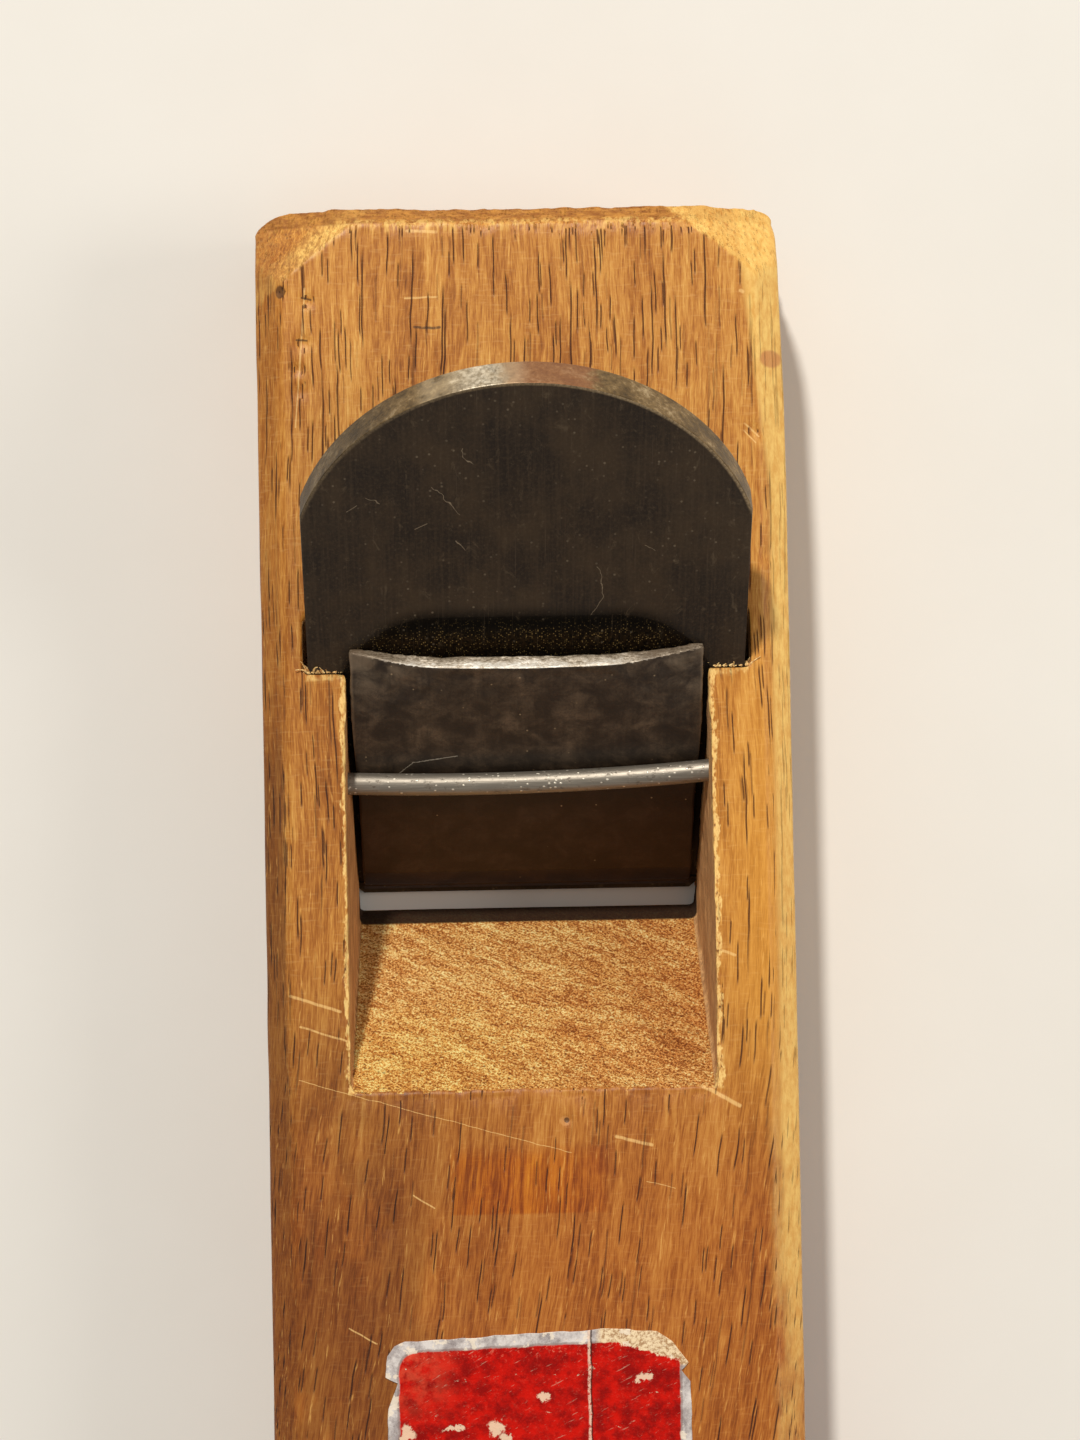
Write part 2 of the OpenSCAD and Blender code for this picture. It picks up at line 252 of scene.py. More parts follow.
room = bpy.data.worlds.new("pale_room")
room.use_nodes = True
room.node_tree.nodes["Background"].inputs[0].default_value = (1.0, 0.98, 0.95, 1.0)
room.node_tree.nodes["Background"].inputs[1].default_value = 0.33
bpy.context.scene.world = room
bpy.context.scene.view_settings.view_transform = "Standard"

camera_data = bpy.data.cameras.new("camera")
camera_data.lens = 97.485
camera = bpy.data.objects.new("camera", camera_data)
camera.location = (-0.0118058, 0.0413778, 0.640117)
camera.rotation_euler = Euler((0.0258, -0.0222, -0.0184), "XYZ")
bpy.context.scene.collection.objects.link(camera)
bpy.context.scene.camera = camera


# The block: one piece of oak, planed to size, then chopped and pared out for the blade by hand.
# Years in the hand have rounded its edges, and hammer blows have crushed the end at its head.


def box_of(node):
    """The least and the greatest corner of a CAD node's box, in millimetres."""
    return (np.array(corner) * 1000 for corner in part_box(node))


block_low, block_high = box_of("oak_block")
deck = block_high[2]
strip_width = 4.4
throat_end_y = -0.6
ledge_y = 64.6
slope_foot_y = 25.0
lip_top = 3.7
bed_top_y = 77
slope_run = 1.556
groove_room = 0.22
cheek_foot_x = 27.3
cheek_lean = 0.0353
arris_x = 28.5
dents = (
    (-33.2, 122.6, 0.9, 0.5), (-33.9, 116.1, 1.0, 0.45), (-34.8, 112.0, 0.8, 0.45),
    (-34.4, 108.6, 1.1, 0.3), (-37.4, 124.2, 0.7, 0.45), (36.4, 101.3, 1.2, 0.4),
    (38.0, 82.0, 1.2, 0.3), (4.9, -5.4, 0.5, 0.6), (-30.0, 12.0, 2.4, 0.12),
    (24.5, -20.0, 3.0, 0.1), (-23.0, -21.7, 1.0, 0.15), (-33.0, -62.0, 1.6, 0.3),
    (31.0, -104.0, 2.2, 0.3), (12.0, -121.0, 2.6, 0.2),
)


def rough_heights(places, seed):
    """Smooth random heights from -1 to 1 over places, one hill or hollow to a unit."""
    cell = np.floor(places).astype(np.int64)
    part = places - cell
    part = part * part * part * (part * (part * 6 - 15) + 10)
    heights = np.zeros(len(places))
    for corner in itertools.product((0, 1), repeat=3):
        key = (cell + corner) * np.array((73856093, 19349663, 83492791))
        number = (key[:, 0] ^ key[:, 1] ^ key[:, 2] ^ (seed * 2654435761)) & 0xFFFFFFFF
        number = ((number ^ (number >> 13)) * 1274126177) & 0xFFFFFFFF
        number = number ^ (number >> 16)
        share = np.prod(np.where(corner, part, 1 - part), axis=1)
        heights += share * ((number & 0xFFFF) / 32767.5 - 1)
    return heights


def rise(values, start, full):
    """0 up to start and 1 from full on, with a soft rise between them, over many values."""
    share = np.clip((values - start) / (full - start), 0, 1)
    return share * share * (3 - 2 * share)


def shaped(piece):
    """The piece's mesh with its modifiers worked in."""
    graph = bpy.context.evaluated_depsgraph_get()
    mesh = bpy.data.meshes.new_from_object(piece.evaluated_get(graph))
    piece.modifiers.clear()
    piece.data = mesh
    return mesh


def welded_copy(node):
    """A CAD node's mesh of its own, with the corners joined again."""
    work = bmesh.new()
    work.from_mesh(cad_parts[node].data)
    bmesh.ops.remove_doubles(work, verts=work.verts, dist=1e-6)
    for face in work.faces:
        face.material_index = 0
    mesh = bpy.data.meshes.new(node + "_copy")
    work.to_mesh(mesh)
    work.free()
    return mesh


def gathered(items, what, wide, kind=float):
    """One row for each of a mesh's points, edges or faces."""
    flat = np.empty(len(items) * wide, kind)
    items.foreach_get(what, flat)
    return flat.reshape(-1, wide)


def points_of(mesh):
    """The places of a mesh's points, in millimetres."""
    return gathered(mesh.vertices, "co", 3) * 1000


def put_points(mesh, points):
    mesh.vertices.foreach_set("co", (points / 1000).ravel())
    mesh.update()


def directions_of(mesh):
    """The way each point of a mesh faces."""
    return gathered(mesh.vertex_normals, "vector", 3)


def eased(mesh, points, softness, times):
    """The points drawn towards their neighbours, which rounds edges where softness isn't 0."""
    ends = gathered(mesh.edges, "vertices", 2, np.int64)
    count = np.bincount(ends.ravel(), minlength=len(points))
    for turn in range(times):
        for axis in range(3):
            total = np.bincount(ends[:, 0], points[ends[:, 1], axis], len(points))
            total += np.bincount(ends[:, 1], points[ends[:, 0], axis], len(points))
            points[:, axis] += softness * 0.5 * (total / count - points[:, axis])
    return points


def remeshed(name, node, cell):
    """A piece with a CAD node's form, in an even skin of small faces."""
    piece = linked(name, welded_copy(node))
    voxels = piece.modifiers.new("voxels", "REMESH")
    voxels.mode = "VOXEL"
    voxels.voxel_size = cell
    return piece, shaped(piece)


def thinned(piece, most):
    """The piece's mesh with at most so many triangles, shaded smoothly."""
    piece.data.calc_loop_triangles()
    thinning = piece.modifiers.new("thinning", "DECIMATE")
    thinning.ratio = min(1.0, most / len(piece.data.loop_triangles))
    mesh = shaped(piece)
    mesh.shade_smooth()
    return mesh


block, block_mesh = remeshed("oak_plane_block", "oak_block", 0.0005)
points = points_of(block_mesh)
facing = directions_of(block_mesh)
px, py, pz = points.T
in_throat = (
    (np.abs(px) < cheek_foot_x + cheek_lean * pz + 0.9)
    * (py > throat_end_y - 1.2)
    * (py < bed_top_y - 0.4)
    * (pz > 0.8)
)
outside = np.abs(px) > block_high[0] - strip_width - 1.0
outside = outside | (py > block_high[1] - 8) | (py < block_low[1] + 6)
points = eased(block_mesh, points, np.where(outside & (pz > 2), 1.0, 0.12), 5)

# The crushed head end: short random hollows, deeper on the edge that the hammer meets.
struck = rise(py, 132.0, 135.5)
hollows = rough_heights(points / (2.4, 2.0, 2.4), 11)
hollows += 0.5 * rough_heights(points / (0.9, 1.2, 0.9), 12)
push = -struck * (0.06 + 0.3 * rise(px, -34, 10) + 0.24 * hollows)

# Worn sides: the block narrows a little to the right of its head, and both arrises are dented.
waves = rough_heights(points / (4, 9, 4), 13)
push -= np.where(px < -36, 0.1 + 0.1 * waves, np.where(px > 36, 0.03 + 0.06 * waves, 0))
push += 0.05 * rough_heights(points / (14, 60, 14), 14) - 0.05

# The slope in front of the mouth is pared with a chisel across the grain and left rough.
on_slope = in_throat * rise(facing[:, 2], 0.3, 0.6) * (py < slope_foot_y + 1)
along_cuts = np.array([[0.9, 0.2, 0], [0.3, -0.25, 0], [0, 0, 0.2]])
cuts = rough_heights(points @ along_cuts / 1.5, 15)
fuzz = rough_heights(points / 0.8, 16)
push += on_slope * (0.18 * cuts + 0.14 * fuzz - 0.1) * rise(pz, 3.4, 6.5)
on_cheek = in_throat * rise(np.abs(facing[:, 0]), 0.6, 0.9)
tears = rough_heights(points / (2, 7, 2.4), 17)
tears += 0.6 * rough_heights(points / (1, 1.6, 1), 18)
push += on_cheek * np.where(px > 0, 0.16 * (tears - 0.8), 0.05 * tears + 0.12)
to_arris = np.hypot(np.abs(px) - cheek_foot_x - cheek_lean * deck, pz - deck)
frayed = (1 - rise(to_arris, 0.2, 1.3)) * (py > throat_end_y + 1) * (py < ledge_y)
push += on_cheek * 0.3 * rise(py, 52, 62)
push += frayed * 0.2 * (rough_heights(points / (0.8, 1.7, 0.8), 19) - 0.3)

# The grooves keep clear of the blade's sides at every setting, and the bores stay tight on the pin.
pin_low, pin_high = box_of("retaining_pin")
pin_middle = (pin_low + pin_high) / 2
off_pin = np.hypot(py - pin_middle[1], pz - pin_middle[2])
in_groove = (np.abs(px) > 26.5) * (np.abs(px) < 36) * (py > 26) * (py < bed_top_y) * (pz > 0.9)
in_groove = in_groove * (on_cheek == 0) * rise(off_pin, 3, 4.5) * rise(deck - pz, 0.3, 1.5)
push -= groove_room * in_groove

for x, y, radius, depth in dents:
    away = np.hypot(px - x, py - y) / radius
    push -= depth * np.exp(-away * away) * (pz > deck - 6) * (facing[:, 2] > 0.3)

points += facing * push[:, None]
points[:, 0] -= 0.8 * rise(py, 95, 134) * rise(px, 34.0, 41.5) * rise(pz, 2, 20)
for side, wide, long in ((-1, 7.6, 4.2), (1, 5.4, 5.4)):
    core = np.array((side * (block_high[0] - wide), block_high[1] - long))
    away = (points[:, :2] - core) / (wide, long)
    far = np.linalg.norm(away, axis=1)
    beyond = (away[:, 0] * side > 0) & (away[:, 1] > 0) & (far > 1)
    points[beyond, :2] = core + away[beyond] * (wide, long) / far[beyond][:, None]
points = np.clip(points, block_low + 0.005, block_high - 0.005)
# The deck is flat where the label is pasted on.
label_bed = (np.abs(px) < 24.5) & (py < -36) & (py > -100) & (pz > deck - 0.5)
points[label_bed, 2] = deck - 0.01
put_points(block_mesh, points)
block_mesh = thinned(block, 190000)
block_mesh.set_sharp_from_angle(angle=math.radians(50))


def tear_arris(finish):
    """Torn pale fibres, with pits among them, along the top of each cheek and on the ledges.

    They go onto the finish's colour, and how high they stand is handed back.
    """
    from_middle = abs(finish.x)
    right = finish.x.past(-1, 1)
    well_long = (finish.y - (throat_end_y - 0.2)).past(-0.3, 0.3)
    well_long = well_long * (ledge_y + 0.2 - finish.y).past(-0.3, 0.3)
    off_arris = finish.joined(from_middle - arris_x, (finish.z - deck) * 0.6)
    off_arris = finish.vector("LENGTH", off_arris, output=1)
    torn_wide = finish.clouds((2.0, 3.2, 2.0), 3.0, 0.7)
    torn_fine = finish.clouds((0.4, 1.1, 0.4), 2.0, 0.7)
    ribbon_width = (torn_wide - 0.26) * (2.2 + right * 0.9) + (torn_fine - 0.5) * 0.6
    ribbon = (ribbon_width - off_arris).past(-0.15, 0.15) * well_long
    ledge = (0.7 - abs(finish.y - (ledge_y - 0.3))).past(-0.4, 0.2)
    ledge = ledge * (from_middle - 28.2).past(0, 0.4) * (34.8 - from_middle).past(0, 0.4)
    ledge = ledge * torn_wide.past(0.4, 0.6) * 0.8
    pits = ribbon * torn_fine.past(0.36 + right * 0.06, 0.28) * (0.1 + 0.9 * right)
    broken = ribbon.larger(ledge)
    torn_wood = finish.mix(torn_fine.past(0.3, 0.6), (210, 144, 70), (255, 216, 134))
    finish.cover(broken * 0.8, torn_wood)
    finish.cover(pits * 0.8, (70, 42, 20))
    return broken * torn_fine * 0.35 - pits * 0.1


oak = Finish("worn_oak")
x, y, z = oak.x, oak.y, oak.z

# The fibres run along the block, wander a little, and lean aside towards its tail.
turn = y - 2
lean = 0.08 * (turn - (turn * turn + 400).root())
drift = oak.clouds((34, 60, 34), 1.0)
waver = oak.clouds((2.4, 6.5, 2.4), 1.0)
fibre_x = x - lean + 4.0 * drift + 0.55 * waver
fibre = oak.joined(fibre_x, y, z)

# Growth rings, wide apart, and the pale and dark threads of wood between them.
ring_way = oak.joined(fibre_x, y * 0.02, z)
ring_far = oak.vector("DISTANCE", ring_way, (64, 0, -118), 1)
ring_noise = oak.clouds((9, 120, 9), 2.0, at=fibre)
ring = (ring_far * 0.9 + ring_noise * 7).sine() * 0.5 + 0.5
threads = oak.clouds((0.6, 11, 0.6), 3.0, 0.62, at=fibre)
fine_threads = oak.clouds((0.2, 2.6, 0.2), 2.0, 0.6, at=fibre)
broad = oak.clouds((6, 30, 6), 3.0, 0.55, at=fibre)
calm = 0.84 + 0.04 * (12 - y).past(-10, 40)
tone = 0.47 + calm * (threads + fine_threads - 1.0) + 0.6 * (broad - 0.5) - 0.06 * ring
oak.colour = oak.ramp(tone, (
    (0.0, (118, 64, 18)), (0.3, (169, 102, 34)), (0.5, (198, 132, 54)),
    (0.7, (217, 157, 74)), (1.0, (242, 197, 114)),
))

# Pores: thin dark dashes on the top, long ones at the head, and round dots on the ends.
square = {"distance": "CHEBYCHEV"}
more = 0.45 * y.past(-20, 70)
long_way, long_own = oak.cells(fibre, (0.55, 34, 0.55), square)
long_pore = long_way.past(0.25, 0.15) * (long_own - 0.95 + more).past(0, 0.1)
mid_way, mid_own = oak.cells(fibre, (0.52, 16, 0.52), square)
mid_pore = mid_way.past(0.24, 0.14) * (mid_own - 0.68 + more * 0.6).past(0, 0.1)
short_way, short_own = oak.cells(fibre, (0.5, 9.5, 0.5), square)
short_pore = short_way.past(0.24, 0.14) * (short_own - 0.62 + more * 0.1).past(0, 0.1)
pore = long_pore.larger(mid_pore).larger(short_pore * 0.9)
# Painted highlight: pale dashes beside the pores stand for light caught on the pore walls.
painted_pore_glint = short_way.past(0.46, 0.34) * short_way.past(0.22, 0.3) * (short_own - 0.6).past(0, 0.1)
painted_pore_glint = painted_pore_glint * fine_threads.past(0.54, 0.66)

# Ray flecks: short pale dashes that run across the fibres.
flecks = oak.clouds((2.6, 0.45, 2.6), 1.0, at=fibre).past(0.55, 0.75)
oak.cover(flecks * 0.16, (240, 190, 118))

# Handling has soiled the left side, the wood is darker towards the tail, and the right side and the
# corners are worn bare.
from_middle = abs(x)
right = x.past(-1, 1)
spots = oak.clouds((0.9, 2.2, 0.9), 3.0, 0.7)
patches = oak.clouds((9, 22, 9), 4.0, 0.6, at=fibre)
strip_inner = 38.2 - right * (y - 92.5 + abs(y - 92.5)) * 0.055
strip = (from_middle - strip_inner - spots * 1.2 + 0.6).past(-0.35, 0.35 + right * 0.5)
head_ward = y.past(35, 80)
tail_ward = (12 - y).past(-10, 40)
left_ward = (4 - x).past(0, 40)
middle_left = left_ward * (96 - y).past(0, 30)
soil_and_darkening = tail_ward * 0.12 + (26 - y).past(0, 24) * 0.12 + middle_left * 0.12
soil_and_darkening = soil_and_darkening + left_ward * tail_ward * patches.past(0.35, 0.6) * 0.28
left_strip_soil = 0.17 + 0.28 * (62 - y).past(0, 18) + 0.7 * (threads - 0.5)
soil_and_darkening = soil_and_darkening + strip * (1 - right) * left_strip_soil
oak.dim(1 - soil_and_darkening.smaller(0.53))
warmth = (tail_ward * 0.85).larger(soil_and_darkening * 0.7)
oak.tint(warmth, (253, 217, 182))
cut_line = (from_middle - 35.0) * 0.63 + (y - 127.4) * 0.776 + (spots - 0.5) * 1.6
corner_cut = cut_line.past(-0.4, 0.4) * (z - 10).past(0, 18)
cut_band = corner_cut * (2.4 - cut_line).past(-1.4, 0.8)
cut_band = cut_band * (0.3 + 0.7 * (y - 127.5).past(0, 3.5))
# A pale band along the head's edge, partly pale crushed wood and partly a painted highlight.
pale_edge_and_glint = (0.9 - abs(y - 134.2)).past(-0.5, 0.4) * (24 - from_middle).past(-8, 4)
bare = strip * right * (0.85 + 0.15 * head_ward) * spots.past(-0.1, 0.35)
bare = bare * (y + 60).past(0, 60) * (0.3 + 0.7 * (z - 14).past(0, 14))
bare = bare.larger(corner_cut * right * spots.past(0.2, 0.5) * 0.7)
bare = bare.larger(cut_band * (0.4 + 0.6 * fine_threads.past(0.35, 0.55)))
bare_right = (x - 25).past(0, 12) * (1 - strip)
bare_right = bare_right * (90 - y).past(0, 60) * (y + 20).past(0, 40)
oak.cover(bare_right * 0.4, (238, 168, 58))
pale_share = 0.5 * spots.past(0.3, 0.7) + 0.5 * threads
pale_wood = oak.mix(pale_share, (214, 150, 62), (255, 217, 126))
oak.cover(bare * 0.92, pale_wood)
patchy = (x - 35.5).past(0, 2.5) * (16 - y).past(0, 40)
patchy = patchy * patches.past(0.4, 0.62) * (z - 20).past(0, 12)
oak.cover(patchy * 0.6, pale_wood)
oak.cover(pale_edge_and_glint * (1 - right * 0.6) * threads.past(0.48, 0.6) * 0.45, pale_wood)
foxed = corner_cut * (1 - right) * spots.past(0.58, 0.4) * threads.past(0.62, 0.44)
oak.cover(foxed * 0.5, (150, 96, 46))

# The struck end is bruised brown, with pale crushed threads along its edge that are partly a
# painted highlight where the edge catches the light.
struck_end = (y - 134.7).past(-0.2, 0.3)
bruise = oak.clouds((2.2, 0.8, 1.2), 4.0, 0.7)
bruised = oak.mix(bruise.past(0.35, 0.68), (138, 80, 24), (196, 134, 56))
oak.cover(struck_end * (1 - corner_cut * right * 0.8) * 0.8, bruised)
rubbed = (0.5 - abs(y - 134.7)).past(-0.35, 0.2) * (27 - from_middle).past(-3, 0)

# The stain behind the well, and the scratches and marks of use.
stain_x = x + (threads - 0.5) * 5 + (patches - 0.5) * 4
stain_y = y + (threads - 0.5) * 2
stain = (12.6 - abs(stain_x + 1.0)).past(0, 1.6) * (-8.2 - stain_y).past(0, 3.5)
stain = stain * (y + 20.0).past(0, 0.5) * z.past(33.3, 33.8)
stain = stain * (1 - patches.past(0.5, 0.7) * 0.4 - (stain_x - 2).past(0, 8) * 0.35)
stained = oak.mix(threads.past(0.56, 0.4), (255, 226, 120), (220, 186, 94))
oak.tint(stain, stained)
smudge = (2.6 - abs(x - 10.3)).past(0, 1.2) * (2.8 - abs(y + 11.6)).past(0, 1.2)
oak.tint(smudge * 0.5, (214, 180, 150))
wobbly = oak.joined(x, y + (patches - 0.5) * 1.2)
flat = oak.joined(x, y)
scratches = oak.marks(wobbly, (
    ((-36.4, 1.5), (5.6, -10.5), 0.08), ((12.6, -8.1), (18.1, -9.4), 0.34),
    ((25.0, 0.2), (31.9, -3.6), 0.42), ((-19.0, -16.4), (-15.8, -18.6), 0.16),
    ((-29.3, -36.9), (-25.1, -39.2), 0.16), ((-37.6, 14.5), (-29.9, 12.3), 0.32),
    ((-36.1, 9.7), (-28.4, 7.5), 0.22), ((-17.4, 133.3), (-12.9, 133.2), 0.34),
    ((-17.9, 122.9), (-12.9, 122.9), 0.2), ((28.3, 21.0), (31.6, 19.7), 0.3),
    ((34.7, 102.6), (36.9, 100.6), 0.2), ((34.6, 101.4), (36.4, 99.6), 0.14),
    ((17.2, -15.0), (21.6, -16.3), 0.08), ((-33.5, 124.6), (-34.5, 112.0), 0.2),
    ((-34.5, 112.0), (-35.3, 103.0), 0.14), ((34.5, 123.2), (34.8, 123.0), 0.4),
))
scratches = scratches * z.past(26, 27) * (0.45 + 0.55 * fine_threads.past(0.35, 0.5))
oak.cover(scratches * 0.6, (248, 204, 130))
# Dark marks: a stain by the left edge, and in the dents and the small hole partly dirt and partly
# painted shade where the wood sinks in.
dark_marks_and_shade = oak.line(wobbly, (-16.5, 118.3), (-12.6, 118.1), 0.3) * spots.past(0.3, 0.5)
dark_marks_and_shade = dark_marks_and_shade.larger(oak.line(wobbly, (-34.0, 123.1), (-32.6, 122.8), 0.22))
dark_marks_and_shade = dark_marks_and_shade.larger(oak.line(wobbly, (-34.9, 116.5), (-33.3, 116.4), 0.22))
dark_marks_and_shade = dark_marks_and_shade.larger(oak.spot(flat, (-37.4, 124.2), 0.8, 1.2) * spots.past(0.2, 0.45))
dark_marks_and_shade = dark_marks_and_shade.larger(oak.spot(flat, (4.95, -5.4), 0.5, 0.5))
plug = oak.spot(flat, (39.1, 112.7), 2.1, 1.6) * z.past(26, 27)
oak.cover(plug * 0.75, (196, 126, 72))
hole_ring = oak.spot(flat, (4.7, -5.5), 0.95, 0.9)
oak.cover(hole_ring * 0.4, (216, 156, 92))
ends = (y - 133.8).past(-0.4, 0.4).larger(corner_cut)
oak.cover(painted_pore_glint * 0.36 * (1 - ends), (244, 190, 104))
oak.tint(pore * (1 - ends * 0.85) * (0.9 - bare * 0.65), (100, 70, 52))
oak.cover(dark_marks_and_shade * 0.75, (60, 38, 22))
oak.cover(rubbed * spots.past(0.46, 0.6) * 0.5, pale_wood)
tear_arris(oak)
grit = oak.clouds((0.5, 0.7, 0.5), 2.0, 0.7)
relief = threads * 0.05 + fine_threads * 0.03 - pore * 0.12 + grit * (0.03 + struck_end * 0.16)
sheen = 0.46 + pore * 0.3 + struck_end * 0.25 + (threads - 0.5) * 0.3
worn_oak = oak.done(relief, Roughness=sheen, Specular_IOR_Level=0.35)

# Inside the well the wood is raw, as the chisel left it, and the lip is coloured nearly black.
well = Finish("chopped_oak")
x, y, z = well.x, well.y, well.z
wall = (abs(x) - 26.9 - z * cheek_lean).past(-0.1, 0.2)
lip = (lip_top - z).past(-0.25, 0.15)
on_slope = (26 - y).past(-0.5, 0.5) * (1 - wall)
down = (throat_end_y - y) * slope_run
stroke_along = x * 0.86 + down * 0.5
stroke_across = x * 0.5 - down * 0.86
stroke_place = well.joined(stroke_along, stroke_across)
strokes = well.clouds((9, 2.6, 1), 3.0, 0.6, 0.6, at=stroke_place)
nicks = well.clouds((1.7, 0.4, 1), 3.0, 0.65, 0.3, at=stroke_place)
chatter = (stroke_along * 4.6 + strokes * 9).sine()
chatter = chatter * (x - 8).past(0, 12) * (strokes - 0.35).past(0, 0.25)
wool = well.clouds((0.33, 0.33, 0.33), 3.0, 0.7)
patch = well.clouds((7, 3.2, 1), 4.0, 0.65, 0.4, at=well.joined(stroke_along, stroke_across, 4.0))
raw_tone = 0.59 + 0.8 * (strokes - 0.5) + 3.4 * (wool - 0.5) + 1.4 * (nicks - 0.5)
# Painted light: the slope's tone is made darker towards the right.
raw_tone = raw_tone + 0.06 * chatter - x.past(-30, 30) * 0.12
well.colour = well.ramp(raw_tone, (
    (0.0, (134, 76, 24)), (0.3, (184, 118, 50)), (0.5, (218, 153, 76)),
    (0.75, (246, 194, 110)), (1.0, (255, 236, 166)),
))
reddish = strokes.past(0.62, 0.4) * 0.4 + x.past(-14, 26) * 0.3
well.tint(reddish, (238, 206, 190))
# Painted highlight: the left of the slope, towards the deck, is tinted golden.
golden = (2 - x).past(-20, 24) * (z - 14).past(0, 14)
well.tint(golden * 0.5, (255, 255, 214))
dots = well.dots(well.joined(x, down), (0.75, 0.75, 1), (0.3, 0.16), (0.55, 0.7))
dots = dots * (z - 10).past(0, 12)
well.cover(dots * 0.65, (92, 48, 16))
well.tint(patch.past(0.52, 0.66) * 0.3, (216, 186, 160))
# Painted shade: the well's wood off the slope, down in the grooves and the bed, is darkened by 30
# %.
well.dim(1 - (1 - on_slope) * 0.3)
wall_grain = well.clouds((0.7, 7, 0.7), 4.0, 0.65)
wall_wood = well.mix(wall_grain.past(0.35, 0.65), (164, 104, 56), (226, 168, 106))
wall_wood = well.mix(x.past(-1, 1) * 0.3, wall_wood, (206, 176, 128))
well.cover(wall, wall_wood)
well.cover(lip * 0.97, (40, 19, 3))
torn_height = tear_arris(well)
relief = on_slope * (wool * 0.4 + nicks * 0.2 + strokes * 0.3 + chatter * 0.05)
relief = relief + wall * wall_grain * 0.15 + (1 - on_slope) * wool * 0.2 + torn_height
chopped_oak = well.done(relief, Roughness=0.76 + lip * 0.14, Specular_IOR_Level=0.3)
block_mesh.materials.clear()
block_mesh.materials.append(worn_oak)
block_mesh.materials.append(chopped_oak)
mx, my, mz = (gathered(block_mesh.polygons, "center", 3) * 1000).T
on_sole = (mz < 2) & (gathered(block_mesh.polygons, "normal", 3)[:, 2] < -0.6)
in_well = (np.abs(mx) < 35.2) & (my > -1.0) & (my < bed_top_y) & (mz < deck - 0.35) & ~on_sole
block_mesh.polygons.foreach_set("material_index", in_well.astype(np.int32))
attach(block, "block")
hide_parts("oak_block")


def drawn_rods(name, rods, sides):
    """Closed round bars, each through its own path's points with its own radius at each."""
    corners = []
    faces = []
    for path, radii in rods:
        path = np.array(path)
        ways = np.gradient(path, axis=0)
        ways /= np.linalg.norm(ways, axis=1)[:, None]
        first_corner = len(corners)
        for middle, way, radius in zip(path, ways, radii):
            first = np.cross(way, (0, 0.0872, 0.9962))
            first /= np.linalg.norm(first)
            second = np.cross(way, first)
            for turn in range(sides):
                angle = math.tau * turn / sides
                away = math.cos(angle) * first + math.sin(angle) * second
                corners.append(tuple((middle + radius * away) / 1000))
        last = first_corner + (len(path) - 1) * sides
        for low in range(first_corner, last, sides):
            for turn in range(sides):
                after = (turn + 1) % sides
                high = low + sides
                faces.append((low + turn, low + after, high + after, high + turn))
        faces.append(tuple(first_corner + turn for turn in reversed(range(sides))))
        faces.append(tuple(last + turn for turn in range(sides)))
    mesh = bpy.data.meshes.new(name)
    mesh.from_pydata(corners, [], faces)
    mesh.shade_smooth()
    mesh.set_sharp_from_angle(angle=math.radians(40))
    return linked(name, mesh)


# The chisel has left torn splinters standing along both ledges, where the side grooves come out.
dice = np.random.default_rng(7)
splinters = []
for side, count in ((-1, 34), (1, 22)):
    for number in range(count):
        share = dice.random()
        root_x = side * (arris_x + 0.2 + 6.0 * share)
        root = np.array((root_x, ledge_y + 0.1, deck - 0.25 * dice.random() - 0.1))
        tall = (0.5 + 1.1 * dice.random()) * (1.5 if side < 0 and share > 0.7 else 0.9)
        way = np.array((dice.normal(0, 0.6), 0.8 + 0.3 * dice.random(), dice.normal(0.15, 0.35)))
        bend = np.array((dice.normal(0, 0.5), dice.normal(-0.2, 0.3), dice.normal(0.1, 0.4)))
        path = []
        radii = []
        for step in range(6):
            along = step / 5
            path.append(root + tall * (along * way + along * along * bend))
            radii.append((0.26 - 0.2 * along) * (0.6 + 0.6 * dice.random()))
        splinters.append((path, radii))
torn_splinters = drawn_rods("torn_splinters", splinters, 5)
splint = Finish("torn_wood")
splint_tone = splint.clouds((0.5, 0.5, 0.5), 2.0, 0.6)
splint.colour = splint.mix(splint_tone.past(0.35, 0.65), (196, 138, 72), (252, 216, 146))
torn_splinters.data.materials.append(splint.done(Roughness=0.7))
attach(torn_splinters, "block")


# The retaining pin: a plain steel rod driven through both cheeks, a little askew, on which the
# chipbreaker bears. The pull of the wedged irons has bowed it towards the mouth.


def slope_ways(degrees):
    """The way up a slope that rises towards the head, and the way straight off it."""
    ahead, rising = math.cos(math.radians(degrees)), math.sin(math.radians(degrees))
    return np.array((0, ahead, rising)), np.array((0, -rising, ahead))


pin_radius = 1.75
pin_inset = (0.06, pin_radius, pin_radius)
pin_left = pin_low + pin_inset
pin_right = pin_high - pin_inset
pin_bow = 1.25
chip_angle = 44.36
chip_up, chip_off = slope_ways(chip_angle)
pin_path = []
pin_radii = []
for share in [0, 0.004] + [step / 80 for step in range(1, 80)] + [0.996, 1]:
    middle = pin_left + (pin_right - pin_left) * share
    reach = max(0.0, 1 - (middle[0] / arris_x) ** 2)
    pin_path.append(middle - chip_up * pin_bow * reach ** 0.9)
    pin_radii.append(pin_radius - (0.25 if share in (0, 1) else 0.0))
pin = drawn_rods("bowed_pin", [(pin_path, pin_radii)], 32)
rod = Finish("drawn_rod_steel")
rod_spots = rod.clouds((1.2, 0.8, 0.8), 4.0, 0.65)
rod_lines = rod.clouds((7, 0.25, 0.25), 2.0, 0.6)
rod.colour = rod.mix(rod_lines, (114, 106, 94), (170, 161, 147))
rod.cover(rod_spots.past(0.55, 0.75) * 0.7, (74, 58, 42))
lint = rod.dots(rod.place, (0.9, 0.6, 0.6), (0.3, 0.14), (0.6, 0.8))
rod.cover(lint * 0.8, (255, 246, 226))
relief = rod_lines * 0.02 - rod_spots.past(0.55, 0.75) * 0.04 + lint * 0.04
